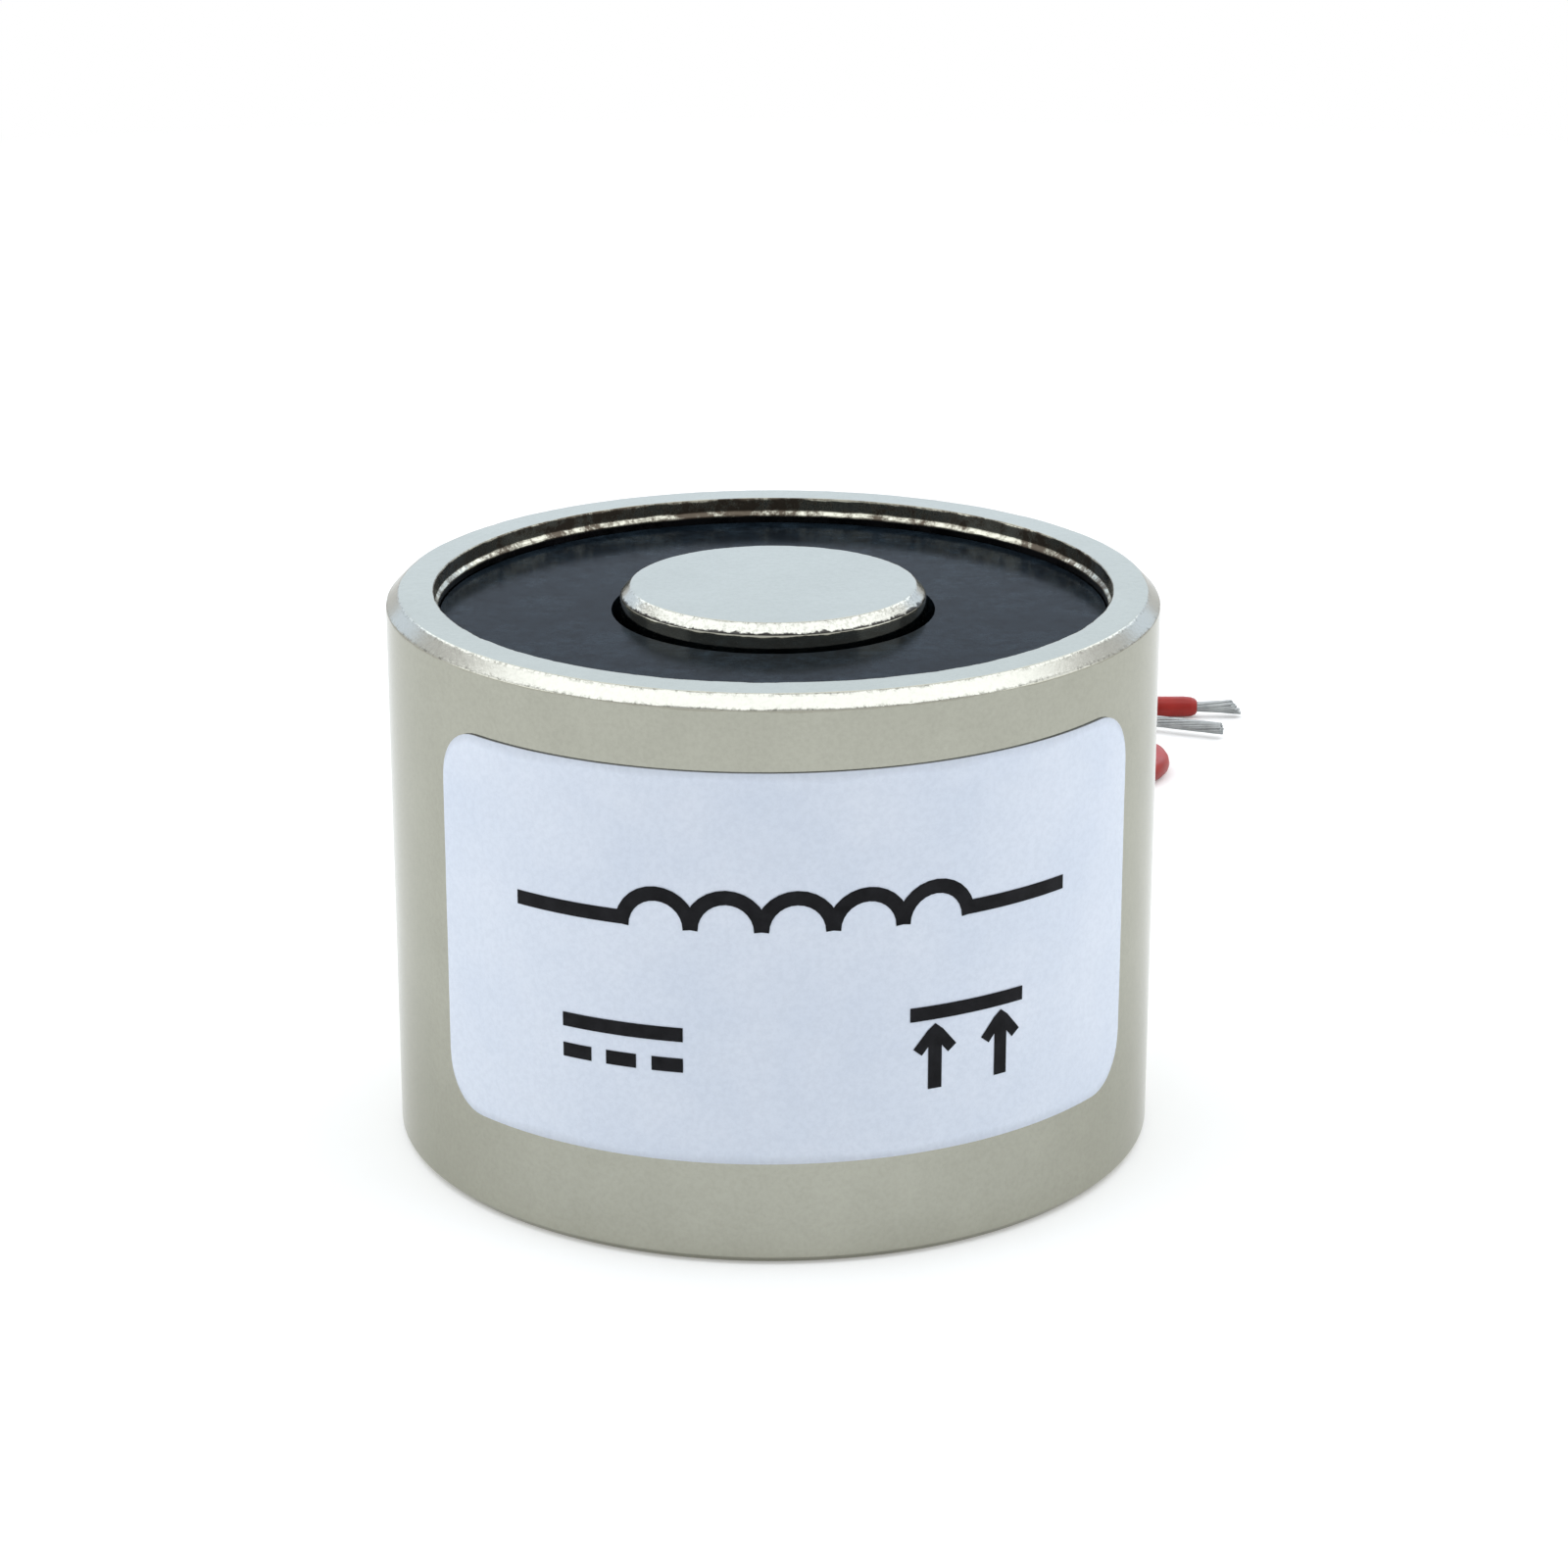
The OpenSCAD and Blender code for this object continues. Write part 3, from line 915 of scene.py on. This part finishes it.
def pot_outline(turn):
    """Section of the pot, with slightly worn edges round the holding face."""
    corners = [
        (SPIGOT_R, 0),
        (BODY_R - BASE_CHAMFER, 0),
        (BODY_R, BASE_CHAMFER),
        (BODY_R, BODY_H - FACE_CHAMFER),
        (BODY_R - FACE_CHAMFER, BODY_H),
        (MOUTH_R, BODY_H),
        (MOUTH_R, BODY_H - MOUTH_DEPTH + ragged(turn, 4, 0.03)),
        (BORE_R, STEP_LOW + ragged(turn, 5, 0.03)),
        (BORE_R, BASE_T),
        (SPIGOT_R, BASE_T),
    ]
    cuts = (
        0.04,
        0.06,
        0.06,
        worn(turn, 1),
        worn(turn, 2),
        worn(turn, 3, 0.06),
        0.03,
        worn(turn, 6, 0.04),
        0.05,
        0.03,
    )
    return rounded_outline(corners, cuts)


def pole_outline(turn):
    """Section of the pole from the tip of the tapped hole to the middle of the holding face."""
    corners = [
        (0, THREAD_LEAD_IN + THREAD_DEPTH + DRILL_TIP),
        (THREAD_R, THREAD_LEAD_IN + THREAD_DEPTH),
        (THREAD_R, THREAD_LEAD_IN),
        (THREAD_R + THREAD_LEAD_IN, 0),
        (SPIGOT_R, 0),
        (SPIGOT_R, BASE_T),
        (CORE_R, BASE_T),
        (CORE_R, BODY_H - CORE_CHAMFER),
        (CORE_R - CORE_CHAMFER, BODY_H),
        (0, BODY_H),
    ]
    foot = worn(turn, 7, 0.08, POLE_FINENESS)
    top = worn(turn, 8, 0.05, POLE_FINENESS)
    cuts = (0, 0.03, 0.03, 0.04, 0.04, 0.03, 0.03, foot, top, 0)
    return rounded_outline(corners, cuts)


def cut_bores(piece, bores):
    """Cuts round holes where the leads leave, each given by its place across and its radius."""
    cutters = []
    for x, radius in bores:
        bpy.ops.mesh.primitive_cylinder_add(
            vertices=64,
            radius=radius * MM,
            depth=BORE_CUT_LENGTH * MM,
            location=(x * MM, BORE_CUT_Y * MM, EXIT_Z * MM),
        )
        cutter = bpy.context.object
        cutter.rotation_euler.x = math.pi / 2
        cut = piece.modifiers.new("lead_bore", "BOOLEAN")
        cut.operation = "DIFFERENCE"
        cut.solver = "EXACT"
        cut.object = cutter
        cutters.append(cutter)
    bpy.context.view_layer.update()
    ready = piece.evaluated_get(bpy.context.evaluated_depsgraph_get())
    shaped = bpy.data.meshes.new_from_object(ready)
    piece.modifiers.clear()
    piece.data = shaped
    shaped.set_sharp_from_angle(angle=math.radians(40))
    for cutter in cutters:
        bpy.data.objects.remove(cutter)


def grommet_piece(steps=72, edge=0.25, edge_steps=5):
    """The rubber bush in the lead exit, with a rounded collar that lies on the wall."""
    points = []
    front = BODY_R + COLLAR_T
    plug_r = GROMMET_R - GROMMET_GAP
    for i in range(steps):
        turn = 2 * math.pi * i / steps
        section = [(0, front)]
        for k in range(edge_steps + 1):
            round_turn = math.pi / 2 * k / edge_steps
            out = COLLAR_R - edge + edge * math.sin(round_turn)
            section.append((out, front - edge + edge * math.cos(round_turn)))
        for out, wall_r in ((COLLAR_R, BODY_R), (plug_r, BODY_R), (plug_r, BORE_R), (0, BORE_R)):
            section.append((out, math.sqrt(wall_r**2 - (out * math.cos(turn)) ** 2)))
        points += [(out * math.cos(turn), y, EXIT_Z + out * math.sin(turn)) for out, y in section]
    faces = grid_faces(steps, len(section), loop_rows=True)
    return make_piece("grommet_bush", points, faces, rubber, ["lead_grommet"])


pot = turned_piece(
    "pot_body",
    pot_outline,
    segments=POT_SEGMENTS,
    closed=True,
    material=wall_nickel,
    replaced=["pot_shell"],
)
cut_bores(pot, [(0, GROMMET_R)])
cut_bores(grommet_piece(), [(-EXIT_X, LEAD_BORE_R), (EXIT_X, LEAD_BORE_R)])
turned_piece(
    "pole_body",
    pole_outline,
    segments=POLE_SEGMENTS,
    closed=False,
    material=pole_nickel,
    replaced=["pole_core"],
)


# Thread in the tapped hole

THREAD_PITCH = 0.7
THREAD_CREST_R = 1.62
THREAD_SUNK = 0.03
THREAD_RUN_OUT = 1.5
THREAD_STEPS = 48


def thread_piece():
    """The ridge of an M4 thread, which runs out at both ends."""
    points = []
    turns = (THREAD_DEPTH - THREAD_PITCH) / THREAD_PITCH
    rows = int(turns * THREAD_STEPS)
    base_half = THREAD_PITCH * 0.42
    crest_half = THREAD_PITCH * 0.125
    root_r = THREAD_R + THREAD_SUNK
    for i in range(rows + 1):
        turn = 2 * math.pi * i / THREAD_STEPS
        from_end = min(i, rows - i) / THREAD_STEPS
        rise = min(1, from_end * THREAD_RUN_OUT)
        crest_r = root_r - (root_r - THREAD_CREST_R) * rise
        middle = THREAD_LEAD_IN + THREAD_PITCH / 2 + THREAD_PITCH * i / THREAD_STEPS
        for r, z in (
            (root_r, middle - base_half),
            (crest_r, middle - crest_half),
            (crest_r, middle + crest_half),
            (root_r, middle + base_half),
        ):
            points.append((r * math.cos(turn), r * math.sin(turn), z))
    faces = grid_faces(rows + 1, 4, loop_columns=True)
    piece = make_piece("thread_ridge", points, faces, thread_nickel)
    piece.data.set_sharp_from_angle(angle=math.radians(30))


thread_piece()


# Label

LABEL_COLUMNS = 72
LABEL_ROWS = 24
CORNER_COLUMNS = 10

# Depth of the paper's edge and back below its face, its waves, and the height of the print
EDGE_DROP = 0.02
BACK_DROP = 0.11
WAVE_HEIGHT = 0.012
WAVE_FINENESS = 0.35
WAVE_SEED = 4.2
INK_LIFT = 0.018


def on_label(along, z, lift):
    """A point on the label from the length round the pot, the height and how far it stands out."""
    turn = LABEL_TURN - math.pi / 2 + along / LABEL_R
    r = LABEL_R + lift
    return (r * math.cos(turn), r * math.sin(turn), z + along * math.tan(LABEL_TILT))


def label_columns():
    """Places of the columns of points, closer together round the corners."""
    straight = LABEL_HALF - LABEL_CORNER
    turns = [math.pi / 2 * k / CORNER_COLUMNS for k in range(1, CORNER_COLUMNS + 1)]
    corner = [straight + LABEL_CORNER * math.sin(turn) for turn in turns]
    middle = [-straight + 2 * straight * k / LABEL_COLUMNS for k in range(LABEL_COLUMNS + 1)]
    return [-c for c in reversed(corner)] + middle + corner


def label_piece():
    """A paper sticker with rounded corners, lying a little unevenly on the pot."""
    columns = label_columns()
    straight = LABEL_HALF - LABEL_CORNER
    front = []
    back = []
    for i, along in enumerate(columns):
        past = max(abs(along) - straight, 0)
        drop = LABEL_CORNER - math.sqrt(max(LABEL_CORNER**2 - past**2, 0))
        low = LABEL_LOW + drop
        high = LABEL_HIGH - drop
        for j in range(LABEL_ROWS + 1):
            z = low + (high - low) * j / LABEL_ROWS
            edge = i in (0, len(columns) - 1) or j in (0, LABEL_ROWS)
            spot = Vector((along * WAVE_FINENESS, z * WAVE_FINENESS, WAVE_SEED))
            wave = WAVE_HEIGHT * noise.noise(spot)
            front.append(on_label(along, z, -EDGE_DROP if edge else wave))
            back.append(on_label(along, z, -BACK_DROP))
    rows = len(columns)
    width = LABEL_ROWS + 1
    faces = grid_faces(rows, width)
    count = len(front)
    faces += [tuple(i + count for i in reversed(face)) for face in grid_faces(rows, width)]
    border = [i * width for i in range(rows)]
    border += [(rows - 1) * width + j for j in range(1, width)]
    border += [i * width + width - 1 for i in reversed(range(rows - 1))]
    border += list(reversed(range(1, width - 1)))
    for a, b in zip(border, border[1:] + border[:1]):
        faces.append((a, b, b + count, a + count))
    piece = make_piece("label_sticker", front + back, faces, paper, ["label"])
    piece.data.set_sharp_from_angle(angle=math.radians(50))


def stroke(points, width, step=0.25):
    """Points and quads of a printed line along a path on the label."""
    path = [Vector(points[0])]
    for a, b in zip(points, points[1:]):
        a = Vector(a)
        b = Vector(b)
        count = max(1, math.ceil((b - a).length / step))
        path += [a.lerp(b, k / count) for k in range(1, count + 1)]
    made = []
    for i, here in enumerate(path):
        ahead = (path[min(i + 1, len(path) - 1)] - path[max(i - 1, 0)]).normalized()
        across = Vector((-ahead.y, ahead.x)) * width / 2
        made += [on_label(*(here + across), INK_LIFT), on_label(*(here - across), INK_LIFT)]
    return made, grid_faces(len(path), 2)


def arc(middle, radius, start, end, steps=14):
    """Points of an arc, with angles in degrees."""
    turns = [math.radians(start + (end - start) * k / steps) for k in range(steps + 1)]
    return [(middle[0] + radius * math.cos(t), middle[1] + radius * math.sin(t)) for t in turns]


# Places of the printed marks, as lengths round the pot and heights
LINE_W = 0.55
COIL_MARK_Z = 13.2
COIL_MARK_END = 11
HUMP_R = 1.3
HUMPS = 5
CURRENT_FROM = -9
CURRENT_TO = -4.2
CURRENT_Z = 9.1
DASH_Z = 7.9
DASH_PITCH = 1.8
DASH_LENGTH = 1.2
PLATE_FROM = 4.2
PLATE_TO = 9
PLATE_Z = 9.6
ARROWS_X = (5.2, 8)
ARROW_LOW = 6.6
ARROW_HIGH = 8.9
ARROW_TIP = 8.95
BARB_Z = 8.1
BARB_X = 0.7
BARB_W = LINE_W * 0.8


def label_print():
    """Plain electrical marks: a coil, direct current, and a pull towards a plate."""
    coil_half = HUMPS * HUMP_R
    tail_z = COIL_MARK_Z + LINE_W / 2
    lines = []
    for side in (-1, 1):
        lines.append(([(side * coil_half, tail_z), (side * COIL_MARK_END, tail_z)], LINE_W))
    for k in range(HUMPS):
        middle = (-coil_half + (2 * k + 1) * HUMP_R, COIL_MARK_Z)
        lines.append((arc(middle, HUMP_R, 180, 0), LINE_W))
    lines.append(([(CURRENT_FROM, CURRENT_Z), (CURRENT_TO, CURRENT_Z)], LINE_W))
    for k in range(3):
        start = CURRENT_FROM + DASH_PITCH * k
        lines.append(([(start, DASH_Z), (start + DASH_LENGTH, DASH_Z)], LINE_W))
    lines.append(([(PLATE_FROM, PLATE_Z), (PLATE_TO, PLATE_Z)], LINE_W))
    for x in ARROWS_X:
        lines.append(([(x, ARROW_LOW), (x, ARROW_HIGH)], LINE_W))
        lines.append(([(x - BARB_X, BARB_Z), (x, ARROW_TIP), (x + BARB_X, BARB_Z)], BARB_W))
    points = []
    faces = []
    for path, width in lines:
        made, quads = stroke(path, width)
        faces += [tuple(i + len(points) for i in quad) for quad in quads]
        points += made
    make_piece("label_marks", points, faces, ink)


label_piece()
label_print()


# Materials of the nodes that stay as they are

for node, material in {
    "bobbin": nylon,
    "coil_winding": winding,
    "winding_tape": tape,
    "splice_sleeve_1": sleeve_grey,
    "splice_sleeve_2": sleeve_grey,
}.items():
    nodes[node].data.materials[0] = material


# Floor, light and camera

FLOOR_SIZE = 4
FLOOR_Z = -1e-5
FLOOR_SHADES = [(0.3, (0.8, 0.795, 0.777)), (0.7, (0.82, 0.815, 0.797))]
FLOOR_GLOW = 0.25
FLOOR_GLOW_COLOUR = (1, 0.992, 0.97, 1)

# Distances from the part, in metres, between which the floor turns white
FLOOR_FADE = (0.07, 0.25)

AMBIENT = 0.44
AMBIENT_COLOUR = (0.93, 0.98, 1.07, 1)
OVERHEAD_COLOUR = (0.95, 0.98, 1.02)
OVERHEAD_RADIANCE = 1.95
SIDE_COLOUR = (0.95, 0.98, 1)
BEHIND_COLOUR = (0.47, 0.68, 1)


def seen_ray(tree):
    """1 for rays from the camera and for reflected and refracted rays, and otherwise 0."""
    path = add_node(tree, "ShaderNodeLightPath")
    value = path.outputs["Is Camera Ray"]
    for name in ("Is Glossy Ray", "Is Transmission Ray"):
        value = math_node(tree, "MAXIMUM", value, path.outputs[name])
    return value


def floor_material():
    """A pale floor that takes the object's shadow and is white further away."""
    made = bpy.data.materials.new("floor")
    made.use_nodes = True
    tree = made.node_tree
    tree.nodes.remove(tree.nodes["Principled BSDF"])
    place = object_coordinates(tree)
    shades = ramp(tree, noise_texture(tree, place, 30), FLOOR_SHADES)
    distance = add_node(tree, "ShaderNodeVectorMath", settings={"operation": "LENGTH"})
    matt = add_node(tree, "ShaderNodeBsdfDiffuse")
    glow = add_node(
        tree, "ShaderNodeEmission", inputs={"Color": FLOOR_GLOW_COLOUR, "Strength": FLOOR_GLOW}
    )
    white = add_node(tree, "ShaderNodeEmission", inputs={"Strength": 1})
    near = add_node(tree, "ShaderNodeAddShader")
    seen = add_node(tree, "ShaderNodeMixShader")
    mix = add_node(tree, "ShaderNodeMixShader")
    links = tree.links
    links.new(place, distance.inputs[0])
    links.new(shades, matt.inputs["Color"])
    links.new(matt.outputs[0], near.inputs[0])
    links.new(glow.outputs[0], near.inputs[1])
    links.new(spread(tree, distance.outputs["Value"], 0, 1, *FLOOR_FADE), seen.inputs[0])
    links.new(near.outputs[0], seen.inputs[1])
    links.new(white.outputs[0], seen.inputs[2])
    links.new(seen_ray(tree), mix.inputs[0])
    links.new(matt.outputs[0], mix.inputs[1])
    links.new(seen.outputs[0], mix.inputs[2])
    links.new(mix.outputs[0], tree.nodes["Material Output"].inputs["Surface"])
    return made


def studio_world():
    """An even soft light, seen as white."""
    world = bpy.data.worlds.new("studio")
    scene.world = world
    world.use_nodes = True
    tree = world.node_tree
    soft = tree.nodes["Background"]
    soft.inputs["Color"].default_value = AMBIENT_COLOUR
    soft.inputs["Strength"].default_value = AMBIENT
    white = add_node(tree, "ShaderNodeBackground", inputs={"Color": (1, 1, 1, 1), "Strength": 1})
    mix = add_node(tree, "ShaderNodeMixShader")
    tree.links.new(seen_ray(tree), mix.inputs[0])
    tree.links.new(soft.outputs[0], mix.inputs[1])
    tree.links.new(white.outputs[0], mix.inputs[2])
    tree.links.new(mix.outputs[0], tree.nodes["World Output"].inputs["Surface"])


def soft_light(name, at, target, size, radiance, colour):
    """A rectangular light of the given radiance, in metres, turned towards a point."""
    data = bpy.data.lights.new(name, "AREA")
    data.shape = "RECTANGLE"
    data.size, data.size_y = size
    data.energy = radiance * math.pi * size[0] * size[1]
    data.color = colour
    light = bpy.data.objects.new(name, data)
    light.location = at
    light.rotation_euler = (Vector(target) - Vector(at)).to_track_quat("-Z", "Y").to_euler()
    light.visible_camera = False
    scene.collection.objects.link(light)
    return light


bpy.ops.mesh.primitive_plane_add(size=FLOOR_SIZE, location=(0, 0, FLOOR_Z))
floor = bpy.context.object
floor.name = "floor"
floor.data.materials.append(floor_material())
studio_world()
soft_light(
    "overhead_front",
    at=(0, -0.23, 0.76),
    target=(0, -0.43, 0.15),
    size=(1.45, 0.345),
    radiance=OVERHEAD_RADIANCE,
    colour=OVERHEAD_COLOUR,
)
for name, x, width, radiance in (
    ("overhead_middle", 0, 0.6, 0.7),
    ("overhead_left", -0.486, 0.372, OVERHEAD_RADIANCE),
    ("overhead_right", 0.486, 0.372, OVERHEAD_RADIANCE),
):
    soft_light(
        name,
        at=(x, 0.364, 0.5665),
        target=(x, 0.164, -0.0435),
        size=(width, 0.905),
        radiance=radiance,
        colour=OVERHEAD_COLOUR,
    )
for name, side, radiance in (("left", -1, 1.2), ("right", 1, 1.1)):
    soft_light(
        name,
        at=(side * 0.5, -0.02, 0.22),
        target=(side * 0.04, 0, 0.01),
        size=(0.4, 0.3),
        radiance=radiance,
        colour=SIDE_COLOUR,
    )
behind = soft_light(
    "behind",
    at=(0, 0.75, 0.32),
    target=(0, 0, 0.02),
    size=(1.4, 0.4),
    radiance=0.85,
    colour=BEHIND_COLOUR,
)
behind.visible_diffuse = False

camera_data = bpy.data.cameras.new("camera")
camera_data.lens = CAMERA_LENS
camera_data.sensor_width = 36
camera_data.clip_start = 0.01
camera = bpy.data.objects.new("camera", camera_data)
camera.location = Vector(CAMERA_AT) * MM
camera.rotation_euler = (math.radians(90 - CAMERA_PITCH), 0, math.radians(-CAMERA_YAW))
scene.collection.objects.link(camera)
scene.camera = camera

scene.view_settings.view_transform = "Standard"
